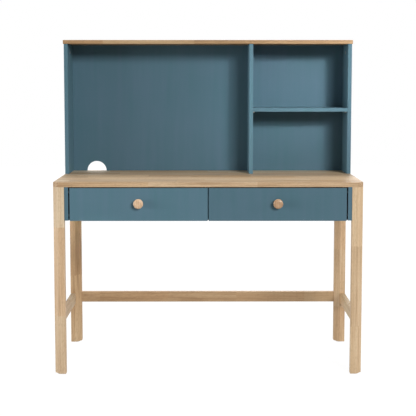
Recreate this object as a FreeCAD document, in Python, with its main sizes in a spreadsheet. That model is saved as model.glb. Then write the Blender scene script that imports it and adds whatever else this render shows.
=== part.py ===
import FreeCAD, Part
import os
import re

import Sketcher

# Writing desk with two drawers and an open hutch, millimetres.
# +X to the right, +Y to the rear, +Z up. The origin is on the floor, under the
# middle of the whole desk with its knobs.

doc = FreeCAD.newDocument("desk_with_hutch")

# Driving dimensions: alias, value.
SIZES = {
    # desktop and legs
    "desk_width": 1200.0,
    "desk_depth": 500.0,
    "desk_height": 755.0,
    "desktop_thickness": 18.0,
    "desktop_round": 1.2,
    "leg_side": 45.0,
    "leg_facet": 22.0,
    "leg_round": 1.2,
    "glide_diameter": 28.0,
    "glide_height": 3.0,
    "glide_pin_diameter": 5.0,
    "glide_pin_length": 14.0,
    # stretchers
    "stretcher_height": 44.0,
    "stretcher_thickness": 20.0,
    "stretcher_inset": 2.0,
    "stretcher_level": 176.0,
    "stretcher_round": 1.0,
    # drawer case under the desktop
    "case_height": 130.0,
    "panel_thickness": 16.0,
    "board_round": 0.8,
    "front_inset": 2.0,
    "apron_inset": 20.0,
    "partition_gap": 2.0,
    # drawers
    "drawer_gap": 3.5,
    "front_height": 128.0,
    "front_thickness": 16.0,
    "wall_lift": 13.0,
    "wall_height": 90.0,
    "wall_thickness": 12.0,
    "drawer_rear_gap": 46.0,
    "bottom_thickness": 4.0,
    "bottom_lift": 10.0,
    "groove_depth": 5.0,
    "groove_play": 0.2,
    "bottom_play": 0.5,
    # knobs
    "knob_diameter": 40.0,
    "knob_length": 25.0,
    "knob_neck_diameter": 24.0,
    "knob_neck_length": 7.0,
    "knob_flare_length": 7.0,
    "knob_rim_round": 4.5,
    "knob_dish_diameter": 28.0,
    "knob_dish_depth": 1.2,
    "knob_rise": 4.5,
    "knob_screw_reach": 13.0,
    # runners
    "runner_width": 12.7,
    "runner_height": 35.0,
    "runner_setback": 6.0,
    "runner_rear_gap": 4.0,
    "rail_sheet": 1.2,
    "rail_play": 0.35,
    "cabinet_flange": 9.2,
    "middle_web_place": 4.0,
    "middle_flange": 6.9,
    "drawer_flange": 6.7,
    # hutch
    "hutch_depth": 160.0,
    "upright_height": 543.0,
    "hutch_top_overhang": 3.0,
    "hutch_back_thickness": 12.0,
    "divider_place": 180.8,
    "shelf_rise": 261.0,
    "shelf_setback": 1.0,
    "cable_notch_radius": 42.0,
    "cable_notch_place": -483.5,
    # dowels, pins, bolts and screws
    "bore_play": 0.2,
    "depth_play": 1.0,
    "dowel_diameter": 8.0,
    "dowel_short_end": 9.0,
    "dowel_long_end": 20.0,
    "dowel_margin": 11.0,
    "slim_dowel_diameter": 6.0,
    "slim_dowel_end": 16.0,
    "case_dowel_margin": 33.0,
    "bolt_diameter": 6.0,
    "bolt_head_diameter": 12.0,
    "bolt_head_height": 2.5,
    "bolt_setback": 14.0,
    "bolt_margin": 20.0,
    "insert_diameter": 10.0,
    "insert_length": 15.0,
    "hutch_bolt_reach": 32.0,
    "hutch_bolt_front": 25.0,
    "hutch_bolt_rear": 85.0,
    "cam_diameter": 15.0,
    "cam_depth": 12.0,
    "cam_distance": 34.0,
    "cam_bolt_end": 9.0,
    "hutch_dowel_margin": 32.0,
    "pin_diameter": 5.0,
    "pin_half_length": 8.0,
    "pin_margin": 30.0,
    "screw_diameter": 4.0,
    "screw_head_diameter": 7.5,
    "screw_head_height": 2.2,
    "rail_screw_reach": 7.0,
    "rail_screw_margin": 30.0,
    "long_screw_reach": 25.0,
    "back_screw_margin": 60.0,
    "box_screw_low": 22.0,
    "box_screw_high": 80.0,
    "box_dowel_low": 28.0,
    "box_dowel_high": 74.0,
    # brackets under the desktop
    "bracket_leg": 24.0,
    "bracket_width": 20.0,
    "bracket_sheet": 2.0,
    "bracket_hole_place": 14.0,
    "bracket_screw_reach": 10.0,
    "bracket_margin": 120.0,
}

# Places worked out from the driving dimensions.
PLACES = {
    "desk_front": "(knob_length - front_inset - desk_depth) / 2",
    "desk_rear": "desk_front + desk_depth",
    "half_width": "desk_width / 2",
    "underside": "desk_height - desktop_thickness",
    "leg_inner": "half_width - leg_side",
    "case_half": "leg_inner - panel_thickness",
    "case_bottom": "underside - case_height",
    "case_front": "desk_front + front_inset",
    "case_rear": "desk_rear - front_inset",
    "partition_half": "panel_thickness / 2",
    "partition_front": "case_front + front_thickness + partition_gap",
    "apron_rear": "desk_rear - apron_inset",
    "apron_front": "apron_rear - panel_thickness",
    "front_top": "underside - drawer_gap",
    "front_bottom": "front_top - front_height",
    "box_front": "case_front + front_thickness",
    "box_rear": "apron_front - drawer_rear_gap",
    "drawer_length": "box_rear - box_front",
    "box_bottom": "front_bottom + wall_lift",
    "rail_level": "box_bottom + wall_height / 2",
    "rail_front": "box_front + runner_setback",
    "runner_length": "drawer_length - runner_setback - runner_rear_gap",
    "knob_level": "front_bottom + front_height / 2 + knob_rise",
    "hutch_rear": "desk_rear",
    "hutch_front": "hutch_rear - hutch_depth",
    "upright_depth": "hutch_depth - hutch_back_thickness",
    "back_front": "hutch_rear - hutch_back_thickness",
    "hutch_roof": "desk_height + upright_height",
    "hutch_inner": "half_width - panel_thickness",
    "divider_left": "divider_place - panel_thickness / 2",
    "divider_right": "divider_place + panel_thickness / 2",
    "shelf_bottom": "desk_height + shelf_rise",
    "cabinet_half": "runner_height / 2",
    "middle_half": "cabinet_half - rail_sheet - rail_play",
    "drawer_half": "middle_half - rail_sheet - rail_play",
}

WORD = re.compile(r"[A-Za-z_][A-Za-z_]*")
PLANES = {"X": "YZ_Plane", "Y": "XZ_Plane", "Z": "XY_Plane"}
OTHERS = {"X": "YZ", "Y": "XZ", "Z": "XY"}
TINY = 0.01

nodes = []
corners = {}


def formula(text):
    """The text with each size or place written as the cell that holds it."""

    def cell(match):
        word = match.group(0)
        if word in SIZES:
            return "Size." + word
        return "Place." + word

    return WORD.sub(cell, text)


def fill_sheets():
    """One sheet of plain numbers and one of places worked out from them."""
    size_sheet = doc.addObject("Spreadsheet::Sheet", "Size")
    for row, (name, value) in enumerate(SIZES.items(), start=1):
        size_sheet.set(f"A{row}", name)
        size_sheet.set(f"B{row}", str(value))
        size_sheet.setAlias(f"B{row}", name)
    place_sheet = doc.addObject("Spreadsheet::Sheet", "Place")
    doc.recompute()
    for row, (name, text) in enumerate(PLACES.items(), start=1):
        place_sheet.set(f"A{row}", name)
        place_sheet.setAlias(f"B{row}", name)
        place_sheet.set(f"B{row}", "=" + formula(text))
    doc.recompute()


def add_body(label, corner=("0", "0", "0")):
    """An empty body with its local origin at the given corner."""
    body = doc.addObject("PartDesign::Body", label)
    body.Label = label
    body.AllowCompound = True
    for letter, text in zip("xyz", corner):
        body.setExpression("Placement.Base." + letter, formula(text))
    corners[label] = corner
    nodes.append(body)
    return body


def local(body, axis, text):
    """A place in the desk's frame as a place in the body's own frame."""
    return f"({text}) - ({corners[body.Label]['XYZ'.index(axis)]})"


def normal(axis):
    """Where the plane square to the axis faces: the XZ plane faces backwards."""
    return -1 if axis == "Y" else 1


def add_sketch(body, axis, face="0"):
    """A sketch square to the axis, at a face given in the body's own frame."""
    sketch = body.newObject("Sketcher::SketchObject", body.Label + "_sketch")
    for plane in body.Origin.OriginFeatures:
        if plane.Role == PLANES[axis]:
            sketch.AttachmentSupport = [(plane, "")]
    sketch.MapMode = "FlatFace"
    sign = "-" if normal(axis) < 0 else ""
    sketch.setExpression("AttachmentOffset.Base.z", formula(f"{sign}({face})"))
    return sketch


def hold(sketch, kind, *where, text):
    """A constraint whose value follows a formula."""
    index = sketch.addConstraint(Sketcher.Constraint(kind, *where, 1.0))
    sketch.setExpression(f"Constraints[{index}]", formula(text))


def add_outline(sketch, points):
    """A closed outline through points given as pairs of formulas."""
    count = len(points)
    start = FreeCAD.Vector(1, 0, 0)
    up_axis = FreeCAD.Vector(0, 0, 1)
    ring = [FreeCAD.Rotation(up_axis, 360.0 * step / count).multVec(start) for step in range(count)]
    lines = [sketch.addGeometry(Part.LineSegment(ring[step], ring[(step + 1) % count]))
             for step in range(count)]
    for step in range(count):
        following = lines[(step + 1) % count]
        sketch.addConstraint(Sketcher.Constraint("Coincident", lines[step], 2, following, 1))
    for line, (across, up) in zip(lines, points):
        hold(sketch, "DistanceX", -1, 1, line, 1, text=across)
        hold(sketch, "DistanceY", -1, 1, line, 1, text=up)


def add_circles(sketch, spots, diameter):
    """Circles of one diameter at spots given as pairs of formulas."""
    for across, up in spots:
        circle = Part.Circle(FreeCAD.Vector(1, 1, 0), FreeCAD.Vector(0, 0, 1), 1)
        index = sketch.addGeometry(circle)
        hold(sketch, "DistanceX", -1, 1, index, 3, text=across)
        hold(sketch, "DistanceY", -1, 1, index, 3, text=up)
        hold(sketch, "Diameter", index, text=diameter)


def add_pad(body, sketch, length, backwards=False):
    pad = body.newObject("PartDesign::Pad", body.Label + "_pad")
    pad.Profile = sketch
    pad.Reversed = backwards
    pad.setExpression("Length", formula(length))
    return pad


def add_pocket(body, sketch, depth, backwards=False):
    pocket = body.newObject("PartDesign::Pocket", body.Label + "_pocket")
    pocket.Profile = sketch
    pocket.Reversed = backwards
    pocket.setExpression("Length", formula(depth))
    return pocket


def round_edges(body, base, radius, wanted=None):
    """A fillet on all edges of the base feature, or on the wanted ones."""
    doc.recompute()
    names = [f"Edge{number}" for number, edge in enumerate(base.Shape.Edges, start=1)
             if wanted is None or wanted(edge)]
    fillet = body.newObject("PartDesign::Fillet", body.Label + "_round")
    fillet.Base = (base, names)
    fillet.setExpression("Radius", formula(radius))
    return fillet


def board(label, corner, size, rounding=None):
    """A flat board: its low corner, its size along X, Y and Z, its edge rounding."""
    body = add_body(label, corner)
    sketch = add_sketch(body, "Z")
    width, depth, height = size
    add_outline(sketch, [("0", "0"), (width, "0"), (width, depth), ("0", depth)])
    pad = add_pad(body, sketch, height)
    if rounding:
        round_edges(body, pad, rounding)
    return body


def spots_in(body, axis, spots):
    """Spots of the desk's frame in the frame of one body's sketch."""
    first, second = OTHERS[axis]
    return [(local(body, first, across), local(body, second, up)) for across, up in spots]


def drill(body, axis, face, toward, spots, diameter, depth):
    """Round holes from a face of a body, toward +1 or -1 along the axis."""
    sketch = add_sketch(body, axis, local(body, axis, face))
    add_circles(sketch, spots_in(body, axis, spots), f"{diameter} + bore_play")
    add_pocket(body, sketch, depth, toward == normal(axis))


def studs(body, axis, face, toward, spots, diameter, length):
    """Round bars that start at a face and run toward +1 or -1 along the axis."""
    sketch = add_sketch(body, axis, face)
    add_circles(sketch, spots, diameter)
    add_pad(body, sketch, length, toward != normal(axis))


def shifted(face, toward, distance):
    """A face moved by a distance toward +1 or -1."""
    return f"{face} + ({distance})" if toward > 0 else f"{face} - ({distance})"


def dowels(group, axis, joint, toward, spots, diameter, short, long, short_board, long_board):
    """Dowels across a joint: the long end runs toward +1 or -1 into long_board."""
    studs(group, axis, shifted(joint, -toward, short), toward, spots, diameter, f"{short} + {long}")
    drill(short_board, axis, joint, -toward, spots, diameter, f"{short} + depth_play")
    drill(long_board, axis, joint, toward, spots, diameter, f"{long} + depth_play")


def screws(group, axis, seat, toward, spots, reach, kind="screw"):
    """Headed screws or bolts: the head stands on the seat, the shank runs toward."""
    studs(group, axis, seat, toward, spots, kind + "_diameter", reach)
    studs(group, axis, seat, -toward, spots, kind + "_head_diameter", kind + "_head_height")


def spread(first, last, count):
    """Evenly spaced places from the first to the last."""
    return [f"({first}) + (({last}) - ({first})) * {step} / {count - 1}" for step in range(count)]


def countersink(body, axis, face, toward, spots, kind="screw"):
    """Flat recesses for the heads of screws or bolts, with the way for the shank."""
    drill(body, axis, face, toward, spots, kind + "_head_diameter", kind + "_head_height")


def fasteners(label):
    """A node of equal fasteners, drawn in the desk's own frame."""
    return add_body(label)


def make_desktop():
    body = add_body("desktop", ("-half_width", "desk_front", "underside"))
    sketch = add_sketch(body, "Z")
    add_outline(sketch, [
        ("leg_facet", "0"),
        ("desk_width - leg_facet", "0"),
        ("desk_width", "leg_facet"),
        ("desk_width", "desk_depth"),
        ("0", "desk_depth"),
        ("0", "leg_facet"),
    ])
    pad = add_pad(body, sketch, "desktop_thickness")
    round_edges(body, pad, "desktop_round")
    return body


def make_leg(label, across, along, mirrored):
    """A square leg with a facet down two opposite corners."""
    body = add_body(label, (across, along, "glide_height"))
    sketch = add_sketch(body, "Z")
    outline = [
        ("leg_facet", "0"),
        ("leg_side", "0"),
        ("leg_side", "leg_side - leg_facet"),
        ("leg_side - leg_facet", "leg_side"),
        ("0", "leg_side"),
        ("0", "leg_facet"),
    ]
    if mirrored:
        outline = [(f"leg_side - ({u})", v) for u, v in reversed(outline)]
    add_outline(sketch, outline)
    pad = add_pad(body, sketch, "underside - glide_height")
    round_edges(body, pad, "leg_round")
    return body


def make_legs():
    """Four legs, keyed by the signs of their corner."""
    places = {
        "front_left_leg": (-1, -1),
        "front_right_leg": (1, -1),
        "rear_left_leg": (-1, 1),
        "rear_right_leg": (1, 1),
    }
    legs = {}
    for label, (side, end) in places.items():
        across = "leg_inner" if side > 0 else "-half_width"
        along = "desk_rear - leg_side" if end > 0 else "desk_front"
        legs[side, end] = make_leg(label, across, along, side != end)
    return legs


def make_stretchers():
    """A stretcher on each side between front and rear legs, and one at the rear."""
    length = "desk_depth - 2 * leg_side"
    side_size = ("stretcher_thickness", length, "stretcher_height")
    front = "desk_front + leg_side"
    left = board("left_stretcher", ("-half_width + stretcher_inset", front, "stretcher_level"),
                 side_size, "stretcher_round")
    right_edge = "half_width - stretcher_inset - stretcher_thickness"
    right = board("right_stretcher", (right_edge, front, "stretcher_level"),
                  side_size, "stretcher_round")
    rear = board("rear_stretcher",
                 ("-leg_inner", "desk_rear - stretcher_inset - stretcher_thickness", "stretcher_level"),
                 ("2 * leg_inner", "stretcher_thickness", "stretcher_height"), "stretcher_round")
    return left, right, rear


def make_case():
    """The boards that hang under the desktop and carry the drawers."""
    side_size = ("panel_thickness", "case_rear - case_front", "case_height")
    left = board("left_side_panel", ("-leg_inner", "case_front", "case_bottom"),
                 side_size, "board_round")
    right = board("right_side_panel", ("case_half", "case_front", "case_bottom"),
                  side_size, "board_round")
    partition = board("centre_partition", ("-partition_half", "partition_front", "case_bottom"),
                      ("panel_thickness", "apron_front - partition_front", "case_height"),
                      "board_round")
    apron = board("rear_apron", ("-case_half", "apron_front", "case_bottom"),
                  ("2 * case_half", "panel_thickness", "case_height"), "board_round")
    return left, right, partition, apron


def join_stretchers(group, legs, left, right, rear):
    """Two glued dowels in each end of each stretcher."""
    heights = ["stretcher_level + dowel_margin",
               "stretcher_level + stretcher_height - dowel_margin"]
    middle = "(half_width - stretcher_inset - stretcher_thickness / 2)"
    for side, stretcher in ((-1, left), (1, right)):
        across = middle if side > 0 else "-" + middle
        spots = [(across, height) for height in heights]
        dowels(group, "Y", "desk_front + leg_side", -1, spots, "dowel_diameter",
               "dowel_long_end", "dowel_long_end", stretcher, legs[side, -1])
        dowels(group, "Y", "desk_rear - leg_side", 1, spots, "dowel_diameter",
               "dowel_long_end", "dowel_long_end", stretcher, legs[side, 1])
    along = "desk_rear - stretcher_inset - stretcher_thickness / 2"
    spots = [(along, height) for height in heights]
    dowels(group, "X", "-leg_inner", -1, spots, "dowel_diameter",
           "dowel_long_end", "dowel_long_end", rear, legs[-1, 1])
    dowels(group, "X", "leg_inner", 1, spots, "dowel_diameter",
           "dowel_long_end", "dowel_long_end", rear, legs[1, 1])


def leg_middle(side, end):
    """The middle of a leg, seen from above."""
    across = "half_width - leg_side / 2" if side > 0 else "leg_side / 2 - half_width"
    along = "desk_rear - leg_side / 2" if end > 0 else "desk_front + leg_side / 2"
    return across, along


def join_legs(tops, legs, desktop, panels):
    """Dowels up into the desktop, and bolts from the case into each leg."""
    glides = fasteners("foot_glides")
    bolts = fasteners("leg_bolts")
    inserts = fasteners("leg_inserts")
    middles = [leg_middle(side, end) for side, end in legs]
    studs(tops, "Z", "underside + dowel_short_end", -1, middles, "dowel_diameter",
          "dowel_short_end + dowel_long_end")
    drill(desktop, "Z", "underside", 1, middles, "dowel_diameter", "dowel_short_end + depth_play")
    studs(glides, "Z", "0", 1, middles, "glide_diameter", "glide_height")
    studs(glides, "Z", "glide_height", 1, middles, "glide_pin_diameter", "glide_pin_length")
    for (side, end), leg in legs.items():
        middle = [leg_middle(side, end)]
        drill(leg, "Z", "underside", -1, middle, "dowel_diameter", "dowel_long_end + depth_play")
        drill(leg, "Z", "glide_height", 1, middle, "glide_pin_diameter",
              "glide_pin_length + depth_play")
    heights = ["case_bottom + bolt_margin", "underside - bolt_margin"]
    rows = {-1: "desk_front + bolt_setback", 1: "desk_rear - bolt_setback"}
    for side, panel in ((-1, panels[0]), (1, panels[1])):
        inner = "case_half" if side > 0 else "-case_half"
        outer = "leg_inner" if side > 0 else "-leg_inner"
        seat = shifted(inner, side, "bolt_head_height")
        spots = [(row, height) for row in rows.values() for height in heights]
        screws(bolts, "X", seat, side, spots,
               "panel_thickness - bolt_head_height + insert_length", "bolt")
        countersink(panel, "X", inner, side, spots, "bolt")
        drill(panel, "X", inner, side, spots, "bolt_diameter", "panel_thickness")
        studs(inserts, "X", outer, side, spots, "insert_diameter", "insert_length")
        drill(inserts, "X", outer, side, spots, "bolt_diameter", "insert_length")
        for end, row in rows.items():
            leg_spots = [(row, height) for height in heights]
            drill(legs[side, end], "X", outer, side, leg_spots, "insert_diameter",
                  "insert_length + depth_play")


def join_case(group, left, right, partition, apron):
    """Dowels from the apron into the side panels and the partition."""
    heights = ["case_bottom + case_dowel_margin", "underside - case_dowel_margin"]
    ends = [("apron_front + panel_thickness / 2", height) for height in heights]
    middle = [("0", height) for height in heights]
    dowels(group, "X", "-case_half", 1, ends, "dowel_diameter",
           "dowel_short_end", "dowel_long_end", left, apron)
    dowels(group, "X", "case_half", -1, ends, "dowel_diameter",
           "dowel_short_end", "dowel_long_end", right, apron)
    dowels(group, "Y", "apron_front", -1, middle, "dowel_diameter",
           "dowel_short_end", "dowel_long_end", apron, partition)


def make_brackets(fixings, desktop, left, right, partition, apron):
    """Steel angle brackets that hang the case from the desktop, with their screws."""
    brackets = fasteners("desktop_brackets")
    near = "desk_front + bracket_margin"
    far = "desk_rear - bracket_margin"
    places = [
        ("X", "-case_half", 1, [near, far], left),
        ("X", "case_half", -1, [near, far], right),
        ("X", "-partition_half", -1, [near], partition),
        ("X", "partition_half", 1, [far], partition),
        ("Y", "apron_front", -1, ["-case_half / 2", "case_half / 2"], apron),
    ]
    drop = "underside - bracket_hole_place"
    for axis, wall, toward, rows, panel in places:
        other = "Y" if axis == "X" else "X"
        reach = shifted(wall, toward, "bracket_leg")
        skin = shifted(wall, toward, "bracket_sheet")
        hole = shifted(wall, toward, "bracket_hole_place")
        low = "underside - bracket_leg"
        flange = "underside - bracket_sheet"
        angle = [(wall, "underside"), (wall, low), (skin, low),
                 (skin, flange), (reach, flange), (reach, "underside")]
        for row in rows:
            edge = f"{row} - bracket_width / 2"
            sketch = add_sketch(brackets, other, edge)
            add_outline(sketch, angle)
            add_pad(brackets, sketch, "bracket_width", normal(other) < 0)
        wall_spots = [(row, drop) for row in rows]
        top_spots = [(hole, row) if axis == "X" else (row, hole) for row in rows]
        drill(brackets, axis, skin, -toward, wall_spots, "screw_diameter", "bracket_sheet")
        drill(brackets, "Z", flange, 1, top_spots, "screw_diameter", "bracket_sheet")
        screws(fixings, axis, skin, -toward, wall_spots, "bracket_sheet + bracket_screw_reach")
        screws(fixings, "Z", flange, 1, top_spots, "bracket_sheet + bracket_screw_reach")
        drill(panel, axis, wall, -toward, wall_spots, "screw_diameter",
              "bracket_screw_reach + depth_play")
        drill(desktop, "Z", "underside", 1, top_spots, "screw_diameter",
              "bracket_screw_reach + depth_play")


def make_hutch(desktop):
    """Two uprights, a divider, a top, a shelf on pins and a screwed-on back."""
    upright_size = ("panel_thickness", "upright_depth", "upright_height")
    left = board("hutch_left_side", ("-half_width", "hutch_front", "desk_height"),
                 upright_size, "board_round")
    right = board("hutch_right_side", ("hutch_inner", "hutch_front", "desk_height"),
                  upright_size, "board_round")
    divider = board("hutch_divider", ("divider_left", "hutch_front", "desk_height"),
                    upright_size, "board_round")
    top = board("hutch_top",
                ("-half_width - hutch_top_overhang", "hutch_front - hutch_top_overhang", "hutch_roof"),
                ("desk_width + 2 * hutch_top_overhang", "hutch_depth + hutch_top_overhang",
                 "panel_thickness"), "desktop_round")
    shelf = board("hutch_shelf",
                  ("divider_right", "hutch_front + shelf_setback", "shelf_bottom"),
                  ("hutch_inner - divider_right", "upright_depth - shelf_setback",
                   "panel_thickness"), "board_round")
    back = board("hutch_back", ("-half_width", "back_front", "desk_height"),
                 ("desk_width", "hutch_back_thickness", "upright_height"), "board_round")
    notch = add_sketch(back, "Y")
    add_circles(notch, [("cable_notch_place + half_width", "0")], "2 * cable_notch_radius")
    add_pocket(back, notch, "hutch_back_thickness")
    join_hutch(desktop, left, right, divider, top, shelf, back)


def join_hutch(desktop, left, right, divider, top, shelf, back):
    """Dowels, cams, bolts, pins and screws of the hutch."""
    peg_group = fasteners("hutch_dowels")
    cam_group = fasteners("hutch_cams")
    cam_bolts = fasteners("hutch_cam_bolts")
    bolt_group = fasteners("hutch_bolts")
    pin_group = fasteners("shelf_pins")
    screw_group = fasteners("hutch_back_screws")
    cam_row = "hutch_front + upright_depth / 2"
    cam_height = "hutch_roof - cam_distance"
    uprights = [
        (left, "-(half_width - panel_thickness / 2)", "-hutch_inner", -1),
        (divider, "divider_place", "divider_right", -1),
        (right, "half_width - panel_thickness / 2", "hutch_inner", 1),
    ]
    for upright, middle, face, inward in uprights:
        pegs = [(middle, "hutch_front + hutch_dowel_margin"),
                (middle, "back_front - hutch_dowel_margin")]
        dowels(peg_group, "Z", "hutch_roof", -1, pegs, "dowel_diameter",
               "dowel_short_end", "dowel_long_end", top, upright)
        cam_spot = [(cam_row, cam_height)]
        studs(cam_group, "X", face, inward, cam_spot, "cam_diameter", "cam_depth")
        drill(upright, "X", face, inward, cam_spot, "cam_diameter", "cam_depth + depth_play")
        stem = "cam_distance - cam_diameter / 2 - bore_play"
        dowels(cam_bolts, "Z", "hutch_roof", -1, [(middle, cam_row)], "bolt_diameter",
               "cam_bolt_end", stem, top, upright)
        bolts = [(middle, "hutch_front + hutch_bolt_front"),
                 (middle, "hutch_front + hutch_bolt_rear")]
        screws(bolt_group, "Z", "underside", 1, bolts,
               "desktop_thickness + hutch_bolt_reach", "bolt")
        drill(desktop, "Z", "underside", 1, bolts, "bolt_diameter", "desktop_thickness")
        drill(upright, "Z", "desk_height", 1, bolts, "bolt_diameter",
              "hutch_bolt_reach + depth_play")
        rows = spread("desk_height + back_screw_margin", "hutch_roof - back_screw_margin", count=4)
        spots = [(middle, row) for row in rows]
        screw_back(screw_group, back, upright, spots)
    pins = [("hutch_front + pin_margin", "shelf_bottom - pin_diameter / 2"),
            ("back_front - pin_margin", "shelf_bottom - pin_diameter / 2")]
    for upright, face, toward in ((divider, "divider_right", -1), (right, "hutch_inner", 1)):
        studs(pin_group, "X", shifted(face, -toward, "pin_half_length"), toward, pins,
              "pin_diameter", "2 * pin_half_length")
        drill(upright, "X", face, toward, pins, "pin_diameter", "pin_half_length + depth_play")
    level = "shelf_bottom + panel_thickness / 2"
    ends = ["divider_right + back_screw_margin", "hutch_inner - back_screw_margin"]
    screw_back(screw_group, back, shelf, [(end, level) for end in ends])


def screw_back(group, back, holder, spots):
    """Screws from behind, flush in the back, into one board of the hutch."""
    screws(group, "Y", "hutch_rear - screw_head_height", -1, spots,
           "hutch_back_thickness - screw_head_height + long_screw_reach")
    countersink(back, "Y", "hutch_rear", -1, spots)
    drill(back, "Y", "hutch_rear", -1, spots, "screw_diameter", "hutch_back_thickness")
    drill(holder, "Y", "back_front", -1, spots, "screw_diameter", "long_screw_reach + depth_play")


def make_knob(name, middle):
    """A turned knob: a neck, a flare and a round-rimmed, slightly dished face."""
    body = add_body(f"{name}_drawer_knob", (middle, "case_front", "knob_level"))
    sketch = add_sketch(body, "X")
    rim = "knob_diameter / 2"
    neck = "knob_neck_diameter / 2"
    dish = "knob_dish_diameter / 2"
    add_outline(sketch, [
        ("0", "0"),
        ("0", neck),
        ("-knob_neck_length", neck),
        ("-knob_neck_length - knob_flare_length", rim),
        ("-knob_length", rim),
        ("-knob_length", dish),
        ("knob_dish_depth - knob_length", "0"),
    ])
    turned = body.newObject("PartDesign::Revolution", f"{name}_knob_turned")
    turned.Profile = sketch
    turned.ReferenceAxis = (sketch, ["H_Axis"])
    turned.Angle = 360.0

    def at_rim(edge):
        """True for the circle where the knob's side meets its face."""
        if not isinstance(edge.Curve, Part.Circle):
            return False
        foremost = abs(edge.BoundBox.YMin + SIZES["knob_length"]) < TINY
        return foremost and abs(2 * edge.Curve.Radius - SIZES["knob_diameter"]) < TINY

    round_edges(body, turned, "knob_rim_round", at_rim)
    drill(body, "Y", "case_front", -1, [(middle, "knob_level")], "screw_diameter",
          "knob_screw_reach + depth_play")
    return body


def make_rail(label, mount, toward, inset, flange, half, opening):
    """A channel of folded steel: its web stands at an inset from the mounting face."""
    body = add_body(label, (mount, "rail_front", "rail_level"))
    sketch = add_sketch(body, "Y")
    sign = "" if toward > 0 else "-"
    web = f"{sign}({inset})"
    fold = f"{sign}({inset} {opening} rail_sheet)"
    lip = f"{sign}({inset} {opening} ({flange}))"
    add_outline(sketch, [
        (web, f"-{half}"),
        (lip, f"-{half}"),
        (lip, f"rail_sheet - {half}"),
        (fold, f"rail_sheet - {half}"),
        (fold, f"{half} - rail_sheet"),
        (lip, f"{half} - rail_sheet"),
        (lip, half),
        (web, half),
    ])
    add_pad(body, sketch, "runner_length", True)
    return body


def rail_spots():
    """Three screw places along a rail."""
    rows = spread("rail_front + rail_screw_margin",
                  "rail_front + runner_length - rail_screw_margin", count=3)
    return [(row, "rail_level") for row in rows]


def make_drawer(name, low, high, front_low, front_high, panels, case_screws):
    """One drawer in its bay: front, box, knob, runners and fixings."""
    middle = f"(({front_low}) + ({front_high})) / 2"
    front = board(f"{name}_drawer_front", (front_low, "case_front", "front_bottom"),
                  (f"({front_high}) - ({front_low})", "front_thickness", "front_height"),
                  "board_round")
    left_edge = f"{low} + runner_width"
    right_edge = f"{high} - runner_width - wall_thickness"
    wall_size = ("wall_thickness", "drawer_length", "wall_height")
    left_wall = board(f"{name}_drawer_left_wall", (left_edge, "box_front", "box_bottom"), wall_size)
    right_wall = board(f"{name}_drawer_right_wall", (right_edge, "box_front", "box_bottom"),
                       wall_size)
    inner_left = f"{left_edge} + wall_thickness"
    inner_width = f"({right_edge}) - ({inner_left})"
    back = board(f"{name}_drawer_back",
                 (inner_left, "box_rear - wall_thickness", "box_bottom"),
                 (inner_width, "wall_thickness", "wall_height"))
    bottom_edge = "groove_depth - bottom_play"
    board(f"{name}_drawer_bottom",
          (f"{inner_left} - ({bottom_edge})", f"box_front - ({bottom_edge})",
           "box_bottom + bottom_lift"),
          (f"{inner_width} + 2 * ({bottom_edge})",
           f"drawer_length - wall_thickness + 2 * ({bottom_edge})", "bottom_thickness"))
    cut_groove(front, "Y", "box_front", -1, inner_left, inner_width)
    cut_groove(back, "Y", "box_rear - wall_thickness", 1, inner_left, inner_width)
    groove_run = "drawer_length - wall_thickness + groove_depth"
    cut_groove(left_wall, "X", inner_left, -1, "box_front", groove_run)
    cut_groove(right_wall, "X", right_edge, 1, "box_front", groove_run)
    make_knob(name, middle)
    box_screws = fasteners(f"{name}_drawer_screws")
    fix_drawer(name, box_screws, front, left_wall, right_wall, back, middle, left_edge, right_edge)
    make_runners(name, low, high, left_wall, right_wall, panels, box_screws, case_screws)


def cut_groove(body, axis, face, toward, start, run):
    """The groove for the drawer bottom: along X on a Y face, along Y on an X face."""
    first = OTHERS[axis][0]
    sketch = add_sketch(body, axis, local(body, axis, face))
    near = local(body, first, start)
    far = f"{near} + ({run})"
    if first == "X":
        near = f"{near} - groove_depth"
        far = f"{far} + groove_depth"
    low = local(body, "Z", "box_bottom + bottom_lift")
    high = f"{low} + bottom_thickness + groove_play"
    add_outline(sketch, [(near, low), (far, low), (far, high), (near, high)])
    add_pocket(body, sketch, "groove_depth", toward == normal(axis))


def fix_drawer(name, box_screws, front, left_wall, right_wall, back, middle,
               left_edge, right_edge):
    """Dowels behind the front, screws into the back, and the knob's screw."""
    pegs = fasteners(f"{name}_drawer_dowels")
    knob_screw = fasteners(f"{name}_knob_screw")
    heights = ["box_bottom + box_dowel_low", "box_bottom + box_dowel_high"]
    peg_front = "front_thickness / 2"
    row = "box_rear - wall_thickness / 2"
    levels = ["box_bottom + box_screw_low", "box_bottom + box_screw_high"]
    screw_spots = [(row, level) for level in levels]
    for wall, edge, toward in ((left_wall, left_edge, 1), (right_wall, right_edge, -1)):
        spots = [(f"{edge} + wall_thickness / 2", height) for height in heights]
        dowels(pegs, "Y", "box_front", 1, spots, "slim_dowel_diameter",
               peg_front, "slim_dowel_end", front, wall)
        outer = edge if toward > 0 else f"{edge} + wall_thickness"
        inner = edge if toward < 0 else f"{edge} + wall_thickness"
        screws(box_screws, "X", shifted(outer, toward, "screw_head_height"), toward, screw_spots,
               "wall_thickness - screw_head_height + long_screw_reach")
        countersink(wall, "X", outer, toward, screw_spots)
        drill(wall, "X", outer, toward, screw_spots, "screw_diameter", "wall_thickness")
        drill(back, "X", inner, toward, screw_spots, "screw_diameter",
              "long_screw_reach + depth_play")
    knob_spot = [(middle, "knob_level")]
    screws(knob_screw, "Y", "box_front", -1, knob_spot, "front_thickness + knob_screw_reach")
    drill(front, "Y", "box_front", -1, knob_spot, "screw_diameter", "front_thickness")


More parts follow.
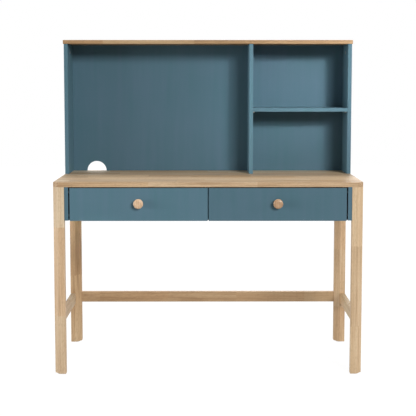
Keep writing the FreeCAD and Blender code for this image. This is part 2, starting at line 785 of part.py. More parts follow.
def make_runners(name, low, high, left_wall, right_wall, panels, box_screws, case_screws):
    """A three-part runner on each side of a drawer."""
    spots = rail_spots()
    sides = (("left", low, 1, left_wall, panels[0]), ("right", high, -1, right_wall, panels[1]))
    for side, mount, toward, wall, panel in sides:
        stem = f"{name}_drawer_{side}"
        cabinet = make_rail(f"{stem}_cabinet_rail", mount, toward, "0", "cabinet_flange",
                            "cabinet_half", "+")
        make_rail(f"{stem}_middle_rail", mount, toward, "middle_web_place", "middle_flange",
                  "middle_half", "+")
        sliding = make_rail(f"{stem}_sliding_rail", mount, toward, "runner_width", "drawer_flange",
                            "drawer_half", "-")
        drill(cabinet, "X", mount, toward, spots, "screw_diameter", "rail_sheet")
        seat = shifted(mount, toward, "rail_sheet")
        screws(case_screws, "X", seat, -toward, spots, "rail_sheet + rail_screw_reach")
        drill(panel, "X", mount, -toward, spots, "screw_diameter", "rail_screw_reach + bore_play")
        wall_face = shifted(mount, toward, "runner_width")
        drill(sliding, "X", wall_face, -toward, spots, "screw_diameter", "rail_sheet")
        screws(box_screws, "X", shifted(wall_face, -toward, "rail_sheet"), toward, spots,
               "rail_sheet + rail_screw_reach")
        drill(wall, "X", wall_face, toward, spots, "screw_diameter",
              "rail_screw_reach + depth_play")


def check_shapes():
    """Stops on any failed object or bad shape."""
    for item in doc.Objects:
        if "Invalid" in item.State or "Error" in item.State:
            raise RuntimeError(f"{item.Label} failed: {item.State}")
    for body in nodes:
        if body.Shape.isNull() or not body.Shape.isValid():
            raise RuntimeError(f"{body.Label} has a bad shape")


def write_parts():
    os.makedirs("parts", exist_ok=True)
    for body in nodes:
        body.Shape.exportStep(f"parts/{body.Label}.step")
        print(body.Label, len(body.Shape.Solids), round(body.Shape.Volume))


def main():
    fill_sheets()
    desktop = make_desktop()
    legs = make_legs()
    left_stretcher, right_stretcher, rear_stretcher = make_stretchers()
    left_panel, right_panel, partition, apron = make_case()
    desk_dowels = fasteners("desk_dowels")
    join_stretchers(desk_dowels, legs, left_stretcher, right_stretcher, rear_stretcher)
    join_legs(desk_dowels, legs, desktop, (left_panel, right_panel))
    join_case(desk_dowels, left_panel, right_panel, partition, apron)
    case_screws = fasteners("case_screws")
    make_brackets(case_screws, desktop, left_panel, right_panel, partition, apron)
    make_hutch(desktop)
    make_drawer("left", "-case_half", "-partition_half", "-case_half + drawer_gap",
                "-drawer_gap / 2", (left_panel, partition), case_screws)
    make_drawer("right", "partition_half", "case_half", "drawer_gap / 2",
                "case_half - drawer_gap", (partition, right_panel), case_screws)
    doc.recompute()
    check_shapes()
    write_parts()


main()
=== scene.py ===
import math

import bpy
import numpy as np
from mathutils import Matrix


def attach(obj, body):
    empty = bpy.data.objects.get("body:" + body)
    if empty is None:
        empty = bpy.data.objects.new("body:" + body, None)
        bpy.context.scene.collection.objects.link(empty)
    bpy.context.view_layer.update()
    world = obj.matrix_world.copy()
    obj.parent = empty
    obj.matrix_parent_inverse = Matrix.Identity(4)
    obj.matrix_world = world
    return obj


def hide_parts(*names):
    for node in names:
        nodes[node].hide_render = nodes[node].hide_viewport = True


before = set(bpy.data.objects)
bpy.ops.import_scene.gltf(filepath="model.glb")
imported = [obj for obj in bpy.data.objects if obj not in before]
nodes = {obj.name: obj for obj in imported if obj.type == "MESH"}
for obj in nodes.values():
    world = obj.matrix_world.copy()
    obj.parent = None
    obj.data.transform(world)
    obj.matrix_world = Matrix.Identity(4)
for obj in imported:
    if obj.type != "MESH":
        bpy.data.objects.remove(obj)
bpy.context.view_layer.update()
mm = 0.001
print("frame loaded:", len(nodes), "nodes")


def linearColour(hexText, tint="#ffffff"):
    # sRGB hex to the linear values that shaders take, times a tint
    values = np.array([int(text[at:at + 2], 16) for text in (hexText, tint) for at in (1, 3, 5)]) / 255
    linear = np.where(values <= 0.04045, values / 12.92, ((values + 0.055) / 1.055) ** 2.4)
    return (*(linear[:3] * linear[3:]).tolist(), 1.0)


def addNode(tree, kind, inputs=None, stops=(), **settings):
    # one node with its settings; an input takes a value, a socket, or a node for its first output
    node = tree.nodes.new(kind)
    for name, value in settings.items():
        setattr(node, name, value)
    for key, value in (inputs or {}).items():
        if isinstance(value, bpy.types.Node):
            value = value.outputs[0]
        if isinstance(value, bpy.types.NodeSocket):
            tree.links.new(value, node.inputs[key])
        else:
            node.inputs[key].default_value = value
    for index, (place, colour) in enumerate(stops):
        ramp = node.color_ramp.elements
        stop = ramp[index] if index < len(ramp) else ramp.new(place)
        stop.position, stop.color = place, colour
    return node


def newMaterial(name):
    # a material with an empty tree, and the place on the piece for its patterns
    material = bpy.data.materials.new(name)
    material.use_nodes = True
    tree = material.node_tree
    tree.nodes.clear()
    return material, tree, addNode(tree, "ShaderNodeTexCoord").outputs["Object"]


def dress(material, *names):
    for name in names:
        slots = nodes[name].data.materials
        slots.clear()
        slots.append(material)


# Oak staves, sanded and clear oiled: pale straw with darker growth lines, short open
# pores along the grain and a soft satin sheen. Each layer of the figure has its width in mm
# across the grain, its draw, which is that width as a share of its length along the grain,
# and its share of the tone.
oakLook = {
    "pale": "#e4ccad",
    "middle": "#d1b392",
    "deep": "#a68767",
    "pore": "#907356",
    "warmth": "#fff1e8",    # what a warm block is tinted with
    "meanTone": 0.42,       # between 0, pale, and 1, deep
    "cutShare": 0.42,       # how far staves and blocks differ in tone
    "cutJump": (3.1, 1.7, 2.3),     # m from one block's cut through the grain to the next
    "seedJump": (0.61, 0.23, 0.41),     # m from one piece's cut to the next
    "jointDepth": 5.0,      # mm, depth of the finger joints' zigzag
    "endShare": 0.35,       # how much deeper end grain takes the oil
    "endFrom": (0.35, 0.95),    # how squarely a face crosses the grain to show end grain
    # growth lines that lie a width apart, drawn coarse so that they show
    "rings": {"width": 7.0, "draw": 0.08, "wobble": 14.0, "share": 0.2},
    "streaks": {"width": 13.0, "draw": 0.05, "detail": 3.0, "rough": 0.55, "share": 1.2},
    # coarser than the real 0.2 mm so that they show
    "fibres": {"width": 1.1, "draw": 0.025, "detail": 2.0, "rough": 0.6, "share": 0.4},
    # slow changes of tone along a board
    "clouds": {"width": 140.0, "draw": 0.45, "detail": 1.0, "rough": 0.5, "share": 0.4},
    # 14 mm long, and coarser than the real 0.3 mm so that they show
    "pores": {"width": 0.9, "draw": 0.9 / 14, "detail": 0.0, "rough": 0.5, "share": 0.4},
    "poreFrom": (0.6, 0.72),    # the tops of the noise that become pores
    "roughness": (0.44, 0.56),  # at its smoothest and at its roughest
    "gloss": 0.25,          # specular level: oil leaves the pores open
    "bumpStrength": 0.5,
    "bumpDepth": 0.12,      # mm
}

# Turns of the Mapping node that lay local X along the grain.
grainTurns = {"X": (0, 0, 0), "Y": (0, 0, -math.pi / 2), "Z": (0, math.pi / 2, 0)}

# Each oak piece: its grain, its seed, its tint, how wide its staves are and how its blocks
# follow each other: a mean length in mm, or places with their tone and warmth. Contrast and
# figure say how much stronger its blocks and its streaks show than those of other pieces.
# The tints match each piece's colour as lit: beside the wood's own tone they carry painted
# shade and warm bounce light, most on the rear legs, the rear stretcher and the hutch top,
# and on the desktop and front legs a bluer cast that is painted sheen.
oakPieces = {
    "desktop": {"grain": "X", "seed": 63.0, "tint": "#eef3f7", "stave": 48.0, "block": 420.0,
                "contrast": 1.7, "figure": 1.35, "warmth": "#fff2de"},
    "hutch_top": {"grain": "X", "seed": 42.0, "tint": "#cdcabc", "stave": 54.0, "block": 380.0},
    "front_left_leg": {"grain": "Z", "seed": 11.0, "tint": "#f5fafa",
                       "blocks": [(0, 0.47, 0.3), (234, 0.6, 0.75), (581, 0.24, 0.1)]},
    "front_right_leg": {"grain": "Z", "seed": 12.0, "tint": "#f6fcff", "warmth": "#fff3e2",
                        "blocks": [(0, 0.6, 0.6), (190, 0.65, 0.5), (507, 0.28, 0.65)]},
    "rear_left_leg": {"grain": "Z", "seed": 13.0, "tint": "#e3e2d9",
                      "blocks": [(0, 0.6, 0.4), (300, 0.95, 0.5)], "figure": 1.3},
    "rear_right_leg": {"grain": "Z", "seed": 14.0, "tint": "#efefe9",
                       "blocks": [(0, 0.35, 0.6), (160, 0.3, 0.3), (412, 0.2, 0.8)], "figure": 1.3},
    "left_stretcher": {"grain": "Y", "seed": 21.0, "tint": "#e7eeef", "block": 230.0},
    "right_stretcher": {"grain": "Y", "seed": 22.0, "tint": "#f2f7ed", "block": 230.0},
    "rear_stretcher": {"grain": "X", "seed": 37.0, "tint": "#d3cdc1", "block": 300.0,
                       "contrast": 0.5},
}


def makeOak(name, grain, seed, tint, stave=None, block=None, blocks=((0, 0.5, 0.5),), contrast=1.0,
            figure=1.0, warmth=oakLook["warmth"], look=oakLook):
    # Local X runs along the grain. Staves lie side by side across Y, blocks follow each other
    # along X with a zigzag finger joint, and each block has its own cut through the grain.
    material, tree, place = newMaterial(name)
    along = addNode(tree, "ShaderNodeMapping", {"Vector": place, "Rotation": grainTurns[grain]})
    length, across = addNode(tree, "ShaderNodeSeparateXYZ", {0: along}).outputs[:2]
    staveIndex = 0.0
    if stave:
        run = addNode(tree, "ShaderNodeMath", {0: across, 1: stave * mm}, operation="DIVIDE")
        staveIndex = addNode(tree, "ShaderNodeMath", {0: run}, operation="FLOOR")
    if block:
        start = addNode(tree, "ShaderNodeTexWhiteNoise", {"W": staveIndex}, noise_dimensions="1D")
        run = addNode(tree, "ShaderNodeMath", {0: length, 1: block * mm}, operation="DIVIDE")
        shifted = addNode(tree, "ShaderNodeMath", {0: run, 1: start}, operation="ADD")
        blockIndex = addNode(tree, "ShaderNodeMath", {0: shifted}, operation="FLOOR")
        pair = addNode(tree, "ShaderNodeCombineXYZ", {0: staveIndex, 1: blockIndex, 2: seed})
        cutColour = addNode(tree, "ShaderNodeTexWhiteNoise", {"Vector": pair},
                            noise_dimensions="3D").outputs["Color"]
    else:
        # steps over the height hold each block's tone, its warmth and a third, mixed value
        teeth = addNode(tree, "ShaderNodeMath", {0: across, 1: look["jointDepth"] * mm},
                        operation="PINGPONG")
        height = addNode(tree, "ShaderNodeMath", {0: teeth, 1: length}, operation="ADD")
        stops = [(low * mm, (tone, warm, (0.37 * seed + 2.9 * tone) % 1, 1)) for low, tone, warm in blocks]
        steps = addNode(tree, "ShaderNodeValToRGB", {"Fac": height}, stops)
        steps.color_ramp.interpolation = "CONSTANT"
        cutColour = steps.outputs["Color"]
    cutTone, cutWarmth = addNode(tree, "ShaderNodeSeparateColor", {0: cutColour}).outputs[:2]
    jump = addNode(tree, "ShaderNodeVectorMath", {0: cutColour, 1: look["cutJump"]}, operation="MULTIPLY")
    moved = addNode(tree, "ShaderNodeVectorMath", {0: along, 1: jump}, operation="ADD")
    seedPlace = tuple(seed * share for share in look["seedJump"])
    wood = addNode(tree, "ShaderNodeVectorMath", {0: moved, 1: seedPlace}, operation="ADD")

    # the wave's lines lie pi / (10 * scale) apart
    facts = look["rings"]
    drawn = addNode(tree, "ShaderNodeMapping", {"Vector": wood, "Scale": (facts["draw"], 1, 1)})
    rings = addNode(tree, "ShaderNodeTexWave",
                    {"Vector": drawn, "Scale": math.pi / (10 * facts["width"] * mm),
                     "Distortion": facts["wobble"], "Detail": 2.0, "Detail Scale": 0.35,
                     "Detail Roughness": 0.5}, wave_type="RINGS", rings_direction="X")
    layers = {"rings": rings.outputs["Fac"]}
    for layer in ("streaks", "fibres", "clouds", "pores"):
        facts = look[layer]
        drawn = addNode(tree, "ShaderNodeMapping", {"Vector": wood, "Scale": (facts["draw"], 1, 1)})
        layers[layer] = addNode(tree, "ShaderNodeTexNoise",
                                {"Vector": drawn, "Scale": 1 / (facts["width"] * mm),
                                 "Detail": facts["detail"], "Roughness": facts["rough"]})
    low, high = look["poreFrom"]
    poreMask = addNode(tree, "ShaderNodeMapRange",
                       {"Value": layers["pores"], "From Min": low, "From Max": high})

    normal = addNode(tree, "ShaderNodeNewGeometry").outputs["Normal"]
    laid = addNode(tree, "ShaderNodeMapping", {"Vector": normal, "Rotation": grainTurns[grain]})
    ahead = addNode(tree, "ShaderNodeSeparateXYZ", {0: laid})
    square = addNode(tree, "ShaderNodeMath", {0: ahead}, operation="ABSOLUTE")
    low, high = look["endFrom"]
    endGrain = addNode(tree, "ShaderNodeMapRange", {"Value": square, "From Min": low, "From Max": high,
                                                    "To Max": look["endShare"]})

    # one tone from 0, pale, to 1, deep: the shares of all layers round the middle
    total = addNode(tree, "ShaderNodeMath", {0: endGrain, 1: look["meanTone"]}, operation="ADD")
    shares = {layer: look[layer]["share"] for layer in ("rings", "streaks", "fibres", "clouds")}
    shares["streaks"] *= figure
    layers["cut"], shares["cut"] = cutTone, look["cutShare"] * contrast
    for layer, share in shares.items():
        centred = addNode(tree, "ShaderNodeMath", {0: layers[layer], 1: 0.5}, operation="SUBTRACT")
        total = addNode(tree, "ShaderNodeMath", {0: centred, 1: share, 2: total},
                        operation="MULTIPLY_ADD")
    stops = [(at, linearColour(look[shade], tint))
             for at, shade in ((0.0, "pale"), (0.5, "middle"), (1.0, "deep"))]
    colour = addNode(tree, "ShaderNodeValToRGB", {"Fac": total}, stops)
    colour = addNode(tree, "ShaderNodeMix", {0: cutWarmth, 6: colour, 7: linearColour(warmth)},
                     data_type="RGBA", blend_type="MULTIPLY").outputs[2]
    poreShare = addNode(tree, "ShaderNodeMath", {0: poreMask, 1: look["pores"]["share"]},
                        operation="MULTIPLY")
    colour = addNode(tree, "ShaderNodeMix", {0: poreShare, 6: colour, 7: linearColour(look["pore"], tint)},
                     data_type="RGBA").outputs[2]
    hollow = addNode(tree, "ShaderNodeMath", {0: layers["fibres"], 1: poreMask}, operation="SUBTRACT")
    bump = addNode(tree, "ShaderNodeBump", {"Height": hollow, "Strength": look["bumpStrength"],
                                            "Distance": look["bumpDepth"] * mm})
    low, high = look["roughness"]
    shine = addNode(tree, "ShaderNodeMapRange", {"Value": layers["fibres"], "To Min": low, "To Max": high})
    shader = addNode(tree, "ShaderNodeBsdfPrincipled",
                     {"Base Color": colour, "Roughness": shine, "IOR": 1.5,
                      "Specular IOR Level": look["gloss"], "Normal": bump})
    addNode(tree, "ShaderNodeOutputMaterial", {"Surface": shader})
    return material


for name, facts in oakPieces.items():
    dress(makeOak("oiledOak_" + name, **facts), name)
print("oak done")

# Sprayed matt lacquer on smooth board: an even grey teal, a faint orange-peel skin and a
# broad soft sheen with no sharp reflections. Each kind of board has its own tint, which is
# painted light and shade: lighter on the divider and shelf, deeper on the back panel in the
# bays and on the right drawer front.
lacquerLook = {
    "colour": "#567a86",
    "cooler": "#5f7d8d",
    "boardTint": "#e6e6e6",
    # painted light: the divider and the shelf are tinted lighter than the other boards
    "dividerTint": "#ffffff",
    "shelfTint": "#eeeeee",
    "frontTints": {"left": "#efefef", "right": "#e0e0e0"},  # painted light: the left front a shade lighter than the right, as the light falls off
    "backTint": "#d7d8db",      # painted shade: the back panel in the bays is tinted a shade deeper
    "paintedShadeInside": "#15191b",        # painted shade: near black on the case's inner faces, so the gaps beside the drawers read dark
    "paintedShadeFrom": 539.4,        # mm from the middle of the desk, within which the painted shade lies
    "roughness": (0.44, 0.52),  # at its smoothest and at its roughest
    "gloss": 0.12,          # specular level of a matt lacquer
    "cloudSize": 180.0,     # mm
    "streakWidth": 24.0,    # mm, faint upright bands left by the spray gun
    "streakDraw": 0.08,     # that width as a share of their height
    "streakShare": 0.55,    # of the tone, the rest is clouds
    "toneFrom": (0.3, 0.7),     # the part of the noise that runs from one colour to the other
    "peelSize": 1.6,        # mm between the dimples of the sprayed skin
    "peelStrength": 0.4,
    "peelDepth": 0.02,      # mm
}


def makeLacquer(name, tint, paintedShadeInside=False, look=lacquerLook):
    material, tree, place = newMaterial(name)
    clouds = addNode(tree, "ShaderNodeTexNoise",
                     {"Vector": place, "Scale": 1 / (look["cloudSize"] * mm), "Detail": 2.0})
    upright = addNode(tree, "ShaderNodeMapping", {"Vector": place, "Scale": (1, 1, look["streakDraw"])})
    streaks = addNode(tree, "ShaderNodeTexNoise",
                      {"Vector": upright, "Scale": 1 / (look["streakWidth"] * mm), "Detail": 2.0})
    blend = addNode(tree, "ShaderNodeMix", {0: look["streakShare"], 2: clouds, 3: streaks},
                    data_type="FLOAT")
    low, high = look["toneFrom"]
    tone = addNode(tree, "ShaderNodeMapRange", {"Value": blend, "From Min": low, "From Max": high})
    colour = addNode(tree, "ShaderNodeMix", {0: tone, 6: linearColour(look["colour"], tint),
                                             7: linearColour(look["cooler"], tint)},
                     data_type="RGBA").outputs[2]
    # painted shade: faces inside the drawer case turn near black
    if paintedShadeInside:
        side = addNode(tree, "ShaderNodeSeparateXYZ", {0: place})
        away = addNode(tree, "ShaderNodeMath", {0: side}, operation="ABSOLUTE")
        inside = addNode(tree, "ShaderNodeMath", {0: away, 1: look["paintedShadeFrom"] * mm},
                         operation="LESS_THAN")
        colour = addNode(tree, "ShaderNodeMix", {0: inside, 6: colour, 7: linearColour(look["paintedShadeInside"])},
                         data_type="RGBA").outputs[2]
    peel = addNode(tree, "ShaderNodeTexNoise",
                   {"Vector": place, "Scale": 1 / (look["peelSize"] * mm), "Detail": 1.0})
    bump = addNode(tree, "ShaderNodeBump", {"Height": peel, "Strength": look["peelStrength"],
                                            "Distance": look["peelDepth"] * mm})
    low, high = look["roughness"]
    shine = addNode(tree, "ShaderNodeMapRange", {"Value": clouds, "To Min": low, "To Max": high})
    shader = addNode(tree, "ShaderNodeBsdfPrincipled",
                     {"Base Color": colour, "Roughness": shine, "IOR": 1.5,
                      "Specular IOR Level": look["gloss"], "Normal": bump})
    addNode(tree, "ShaderNodeOutputMaterial", {"Surface": shader})
    return material


dress(makeLacquer("mattLacquer_boards", lacquerLook["boardTint"]), "centre_partition",
      "rear_apron", "hutch_left_side", "hutch_right_side")
dress(makeLacquer("mattLacquer_divider", lacquerLook["dividerTint"]), "hutch_divider")
dress(makeLacquer("mattLacquer_shelf", lacquerLook["shelfTint"]), "hutch_shelf")
dress(makeLacquer("mattLacquer_case", lacquerLook["boardTint"], paintedShadeInside=True), "left_side_panel",
      "right_side_panel")
dress(makeLacquer("mattLacquer_back", lacquerLook["backTint"]), "hutch_back")
lacquerFronts = {side: makeLacquer("mattLacquer_front_" + side, tint)
                 for side, tint in lacquerLook["frontTints"].items()}
print("lacquer done")

# Birch plywood under clear lacquer: creamy faces with long soft figure, and edges that show
# its thin layers, every second one darker because its grain is cut across.
birchLook = {
    "pale": "#e6d2ae",
    "deep": "#d0b48a",
    "layerDark": "#b08d63",
    "layer": 1.5,           # mm, thickness of one layer
    "cutPlace": (0.7, 0.2, 0.4),    # m, where the veneer is cut from the pattern
    "figureWidth": 9.0,     # mm across the grain
    "figureDraw": 0.04,     # that width as a share of its length along the grain
    "figureBend": 0.6,
    "fleckWidth": 0.8,      # mm, coarser than the real 0.2 so that it shows
    "fleckShare": 0.4,
    "toneFrom": (0.45, 0.95),   # the part of the noise that runs from pale to deep
    "roughness": 0.42,
    "bumpStrength": 0.3,
    "bumpDepth": 0.05,      # mm
}


def makeBirch(name, thin, grain, look=birchLook):
    # thin is the axis across the layers; the faces that look along it show no layers
    material, tree, place = newMaterial(name)
    normal = addNode(tree, "ShaderNodeNewGeometry").outputs["Normal"]
    depth, facing = [addNode(tree, "ShaderNodeSeparateXYZ", {0: vector}).outputs["XYZ".index(thin)]
                     for vector in (place, normal)]
    along = addNode(tree, "ShaderNodeMapping", {"Vector": place, "Rotation": grainTurns[grain],
                                                "Location": look["cutPlace"]})
    drawn = addNode(tree, "ShaderNodeMapping", {"Vector": along, "Scale": (look["figureDraw"], 1, 1)})
    figure = addNode(tree, "ShaderNodeTexNoise",
                     {"Vector": drawn, "Scale": 1 / (look["figureWidth"] * mm), "Detail": 3.0,
                      "Distortion": look["figureBend"]})
    flecks = addNode(tree, "ShaderNodeTexNoise",
                     {"Vector": drawn, "Scale": 1 / (look["fleckWidth"] * mm), "Detail": 1.0})
    tone = addNode(tree, "ShaderNodeMath", {0: flecks, 1: look["fleckShare"], 2: figure},
                   operation="MULTIPLY_ADD")
    stops = [(at, linearColour(look[shade])) for at, shade in zip(look["toneFrom"], ("pale", "deep"))]
    face = addNode(tree, "ShaderNodeValToRGB", {"Fac": tone}, stops)
    layers = addNode(tree, "ShaderNodeMath", {0: depth, 1: look["layer"] * mm}, operation="PINGPONG")
    second = addNode(tree, "ShaderNodeMath", {0: layers, 1: look["layer"] * mm / 2},
                     operation="GREATER_THAN")
    turned = addNode(tree, "ShaderNodeMath", {0: facing}, operation="ABSOLUTE")
    edge = addNode(tree, "ShaderNodeMath", {0: turned, 1: 0.5}, operation="LESS_THAN")
    dark = addNode(tree, "ShaderNodeMath", {0: second, 1: edge}, operation="MULTIPLY")
    colour = addNode(tree, "ShaderNodeMix", {0: dark, 6: face, 7: linearColour(look["layerDark"])},
                     data_type="RGBA").outputs[2]
    bump = addNode(tree, "ShaderNodeBump", {"Height": flecks, "Strength": look["bumpStrength"],
                                            "Distance": look["bumpDepth"] * mm})
    shader = addNode(tree, "ShaderNodeBsdfPrincipled",
                     {"Base Color": colour, "Roughness": look["roughness"], "IOR": 1.5, "Normal": bump})
    addNode(tree, "ShaderNodeOutputMaterial", {"Surface": shader})
    return material


birchWall = makeBirch("birchPlywoodWall", "X", "Y")
birchBack = makeBirch("birchPlywoodBack", "Y", "X")
birchBottom = makeBirch("birchPlywoodBottom", "Z", "X")
for side in ("left", "right"):
    dress(birchWall, side + "_drawer_left_wall", side + "_drawer_right_wall")
    dress(birchBack, side + "_drawer_back")
    dress(birchBottom, side + "_drawer_bottom")

# Plain finishes: each is a shader with a slow tone change and a fine surface texture whose
# size and stretch along X, Y and Z are in mm. A rolled rail has its lines along Y. The
# roughness runs with the texture from its lowest to its highest value.
plainLooks = {
    # steel wire and sheet, bright zinc plated: blue-grey with faint yellow clouds
    "zincPlatedSteel": {"colour": "#c9ccce", "other": "#bfbfb2", "metallic": 1.0,
                        "roughness": (0.26, 0.42), "cloud": 12.0, "texture": (1.2, 1.2, 1.2),
                        "depth": 0.02},
    # strip steel, cold rolled and zinc plated: grey with lines along the rolling
    "rolledZincSteel": {"colour": "#c2c5c7", "other": "#b3b6b6", "metallic": 1.0,
                        "roughness": (0.3, 0.46), "cloud": 40.0, "texture": (0.8, 30.0, 0.8),
                        "depth": 0.015},
    # zinc, pressure cast: darker and duller than plate
    "castZinc": {"colour": "#a9abab", "other": "#97999a", "metallic": 1.0,
                 "roughness": (0.38, 0.54), "cloud": 6.0, "texture": (0.9, 0.9, 0.9), "depth": 0.04},
    # beech dowel with pressed flutes: pinkish straw with flecks
    "flutedBeech": {"colour": "#d2ab80", "other": "#c1966a", "metallic": 0.0,
                    "roughness": (0.52, 0.68), "cloud": 9.0, "texture": (1.1, 1.1, 1.1),
                    "depth": 0.15},
    # nylon, injection moulded: milky white, slightly soft in its shine
    "mouldedNylon": {"colour": "#d9d5c9", "other": "#d1ccbe", "metallic": 0.0,
                     "roughness": (0.34, 0.5), "cloud": 15.0, "texture": (1.0, 1.0, 1.0),
                     "depth": 0.02},
    # acetal, injection moulded: black with a fine spark-eroded grain
    "mouldedAcetal": {"colour": "#23262a", "other": "#2c2f33", "metallic": 0.0,
                      "roughness": (0.37, 0.53), "cloud": 8.0, "texture": (0.7, 0.7, 0.7),
                      "depth": 0.03},
}


def makePlain(name, look):
    material, tree, place = newMaterial(name)
    clouds = addNode(tree, "ShaderNodeTexNoise",
                     {"Vector": place, "Scale": 1 / (look["cloud"] * mm), "Detail": 2.0})
    scale = tuple(1 / (size * mm) for size in look["texture"])
    drawn = addNode(tree, "ShaderNodeMapping", {"Vector": place, "Scale": scale})
    skin = addNode(tree, "ShaderNodeTexNoise", {"Vector": drawn, "Scale": 1.0, "Detail": 1.0})
    colour = addNode(tree, "ShaderNodeMix", {0: clouds, 6: linearColour(look["colour"]),
                                             7: linearColour(look["other"])},
                     data_type="RGBA").outputs[2]
    low, high = look["roughness"]
    shine = addNode(tree, "ShaderNodeMapRange", {"Value": skin, "To Min": low, "To Max": high})
    bump = addNode(tree, "ShaderNodeBump", {"Height": skin, "Strength": 0.5,
                                            "Distance": look["depth"] * mm})
    shader = addNode(tree, "ShaderNodeBsdfPrincipled",
                     {"Base Color": colour, "Roughness": shine, "Metallic": look["metallic"],
                      "Normal": bump})
    addNode(tree, "ShaderNodeOutputMaterial", {"Surface": shader})
    return material


plain = {name: makePlain(name, look) for name, look in plainLooks.items()}
dress(plain["zincPlatedSteel"], "desktop_brackets", "shelf_pins", "hutch_cam_bolts", "leg_inserts")
dress(plain["flutedBeech"], "desk_dowels", "hutch_dowels", "left_drawer_dowels", "right_drawer_dowels")
print("plain finishes done")


def gridFaces(rows, columns, start=0):
    # quads between the points of neighbouring rings, each ring closed on itself
    row = np.arange(rows - 1)[:, None]
    column = np.arange(columns)[None, :]
    after = (column + 1) % columns
    quads = np.stack(np.broadcast_arrays(row * columns + column, row * columns + after,
                                         (row + 1) * columns + after, (row + 1) * columns + column), -1)
    return (quads.reshape(-1, 4) + start).tolist()


def fanFaces(pole, start, columns, way=1):
    # triangles between one point and the ring that begins at start; way -1 turns them over
    step = np.arange(columns)
    ring = [start + step, start + (step + 1) % columns]
    return np.stack([0 * step + pole, *ring[::way]], axis=1).tolist()


def outward(points, faces):
    # a closed skin's volume is a sixth of the sum of a . (b x c) over its triangles
    fans = np.array([(face[0], face[at], face[at + 1]) for face in faces
                     for at in range(1, len(face) - 1)])
    a, b, c = points[fans].transpose(1, 0, 2)
    return faces if (a * np.cross(b, c)).sum() > 0 else [face[::-1] for face in faces]


def joined(*shapes):
    starts = np.cumsum([0] + [len(points) for points, _ in shapes])
    faces = [[index + int(start) for index in face] for start, (_, own) in zip(starts, shapes)
             for face in own]
    return np.concatenate([points for points, _ in shapes]), faces


def copiesAt(shape, spots):
    # Copies of one shape: each spot gives a place in mm and the way the shape's top looks.
    points, faces = shape
    copies = []
    for place, out in spots:
        out = np.array(out, float)
        side = np.array([1.0, 0, 0]) if abs(out[2]) > 0.5 else np.array([0, 0, 1.0])
        turn = np.stack([side, np.cross(out, side), out])
        copies.append(((points @ turn + place) * mm, faces))
    return joined(*copies)


def newPiece(name, points, faces, body, slot, material, replaced, sharp=32.0):
    mesh = bpy.data.meshes.new(name)
    mesh.from_pydata(points.tolist(), [], faces)
    mesh.shade_smooth()
    mesh.set_sharp_from_angle(angle=math.radians(sharp))
    mesh.materials.append(material)
    piece = bpy.data.objects.new(name, mesh)
    bpy.context.scene.collection.objects.link(piece)
    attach(piece, body)
    if replaced:
        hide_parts(replaced)
    return piece


def turnedShape(profile, columns, carve=None):
    # A profile of (radius, height) pairs in mm turned round the height axis:
    # point = (radius cos a, radius sin a, height - cut(x, y)). The first and the last pair
    # lie on the axis and close the poles; carve gives a drive and how many rings it cuts.
    radius, height = np.array(profile, float).T
    angle = np.linspace(0, 2 * math.pi, columns, endpoint=False)
    across = radius[1:-1, None] * np.cos(angle)
    along = radius[1:-1, None] * np.sin(angle)
    level = height[1:-1, None] + 0 * across
    first = height[0]
    if carve:
        head = carve["rings"]
        level[:head] -= carve["cut"](across[:head], along[:head])
        first -= float(carve["cut"](np.zeros(1), np.zeros(1))[0])
    rings = np.stack([across, along, level], axis=-1).reshape(-1, 3)
    points = np.concatenate([[[0, 0, first]], rings, [[0, 0, height[-1]]]])
    top = fanFaces(0, 1, columns)
    tail = fanFaces(len(points) - 1, 1 + (len(profile) - 3) * columns, columns, way=-1)
    # heights fall along the profile, so the quads turn the other way round
    body = [quad[::-1] for quad in gridFaces(len(profile) - 2, columns, 1)]
    return points, top + body + tail


def clipped(values):
    return np.clip(values, 0, 1)


def crossDrive(half, reach, depth, slope=2.2):
    # two bars across each other, each with sloping walls: depth times the deeper bar
    def cut(x, y):
        bars = [clipped(slope * (1 - abs(u) / half)) * clipped(slope * (1 - abs(v) / reach))
                for u, v in ((x, y), (y, x))]
        return depth * np.maximum(*bars)
    return cut


def hexDrive(half, depth, wall=0.2):
    # a point is in the socket when it lies under all three pairs of flats
    def cut(x, y):
        turns = np.radians([0, 60, 120])
        farthest = np.max([abs(x * np.cos(a) + y * np.sin(a)) for a in turns], axis=0)
        return depth * clipped((half - farthest) / wall)
    return cut


# Fixings, mm: a head of some radius and height with a slightly crowned top, the radius of
# its shank and its drive. A cross takes half its width, its reach and its depth, a hex
# socket half of its key's width and its depth.
fixings = {
    "cross": {"radius": 3.75, "height": 2.2, "shank": 2.0, "crown": 0.35, "columns": 28,
              "cut": crossDrive(0.75, 2.3, 1.3)},
    "hex": {"radius": 6.0, "height": 2.5, "shank": 3.0, "crown": 0.25, "columns": 36,
            "cut": hexDrive(2.1, 1.7)},
}


def headedShape(reach, radius, height, shank, crown, columns, cut, steps=18):
    # A head whose top falls by crown * (r / radius) ** 4, a straight shank and a cone 1.5
    # times as long as the shank's radius: the top is at height 0, the tip at -(height + reach).
    onTop = np.linspace(0, 1, steps)
    profile = [(radius * t, -crown * t ** 4) for t in onTop]
    profile += [(radius, -height), (shank, -height), (shank, 1.5 * shank - height - reach),
                (0, -height - reach)]
    return turnedShape(profile, columns, {"rings": steps - 2, "cut": cut})


def mirrored(places, out):
    # the same spot on both halves of the desk; the way out turns round with it
    return [((sign * x, y, z), (sign * out[0], out[1], out[2])) for sign in (-1, 1) for x, y, z in places]


